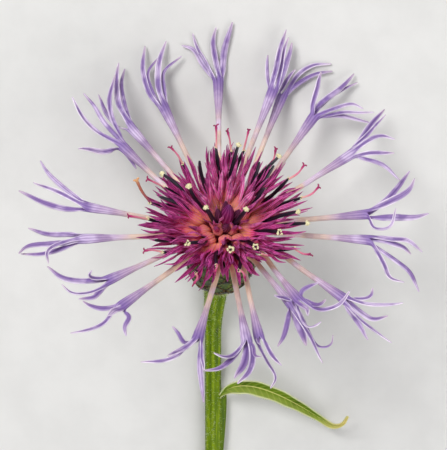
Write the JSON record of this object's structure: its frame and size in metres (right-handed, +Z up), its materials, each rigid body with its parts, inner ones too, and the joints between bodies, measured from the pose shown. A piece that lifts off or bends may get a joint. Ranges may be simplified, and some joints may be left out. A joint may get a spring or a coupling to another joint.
{
  "type": "mountain cornflower",
  "caption": "Cut mountain cornflower lying on its side: spreading trumpet-shaped outer florets, a bristly magenta centre, a scaly cup, and a ribbed stem with one narrow leaf.",
  "frame": {"origin": "middle of the footprint, on the surface that the cut flower lies on", "axes": "+Z up from that surface, +Y along the stem from its cut end towards the head, +X to the right of the head seen from above with the stem towards the viewer"},
  "size_m": [0.0738, 0.102, 0.05],
  "materials": {
    "ray_floret": "matte, pale lilac lobes on a pinkish tube",
    "disc_floret": "matte, magenta lobes on salmon throats, near-black anther tubes",
    "floret_bud": "matte dark purple",
    "bract": "dark green scales with brown-black fringes",
    "stem": "ribbed green with pale woolly hairs",
    "leaf": "green with a pale midrib and whitish hairs"
  },
  "bodies": {
    "root": {"ray_floret_01": "ray_floret", "ray_floret_02": "ray_floret", "ray_floret_03": "ray_floret", "ray_floret_04": "ray_floret", "ray_floret_05": "ray_floret", "ray_floret_06": "ray_floret", "ray_floret_07": "ray_floret", "ray_floret_08": "ray_floret", "ray_floret_09": "ray_floret", "ray_floret_10": "ray_floret", "ray_floret_11": "ray_floret", "ray_floret_12": "ray_floret", "ray_floret_13": "ray_floret", "ray_floret_14": "ray_floret", "ray_floret_15": "ray_floret", "ray_floret_16": "ray_floret", "ray_floret_17": "ray_floret", "ray_floret_18": "ray_floret", "ray_floret_19": "ray_floret", "ray_floret_20": "ray_floret", "disc_florets": "disc_floret", "centre_buds": "floret_bud", "involucre": "bract", "stem": "stem", "leaf": "leaf"}
  },
  "joints": []
}
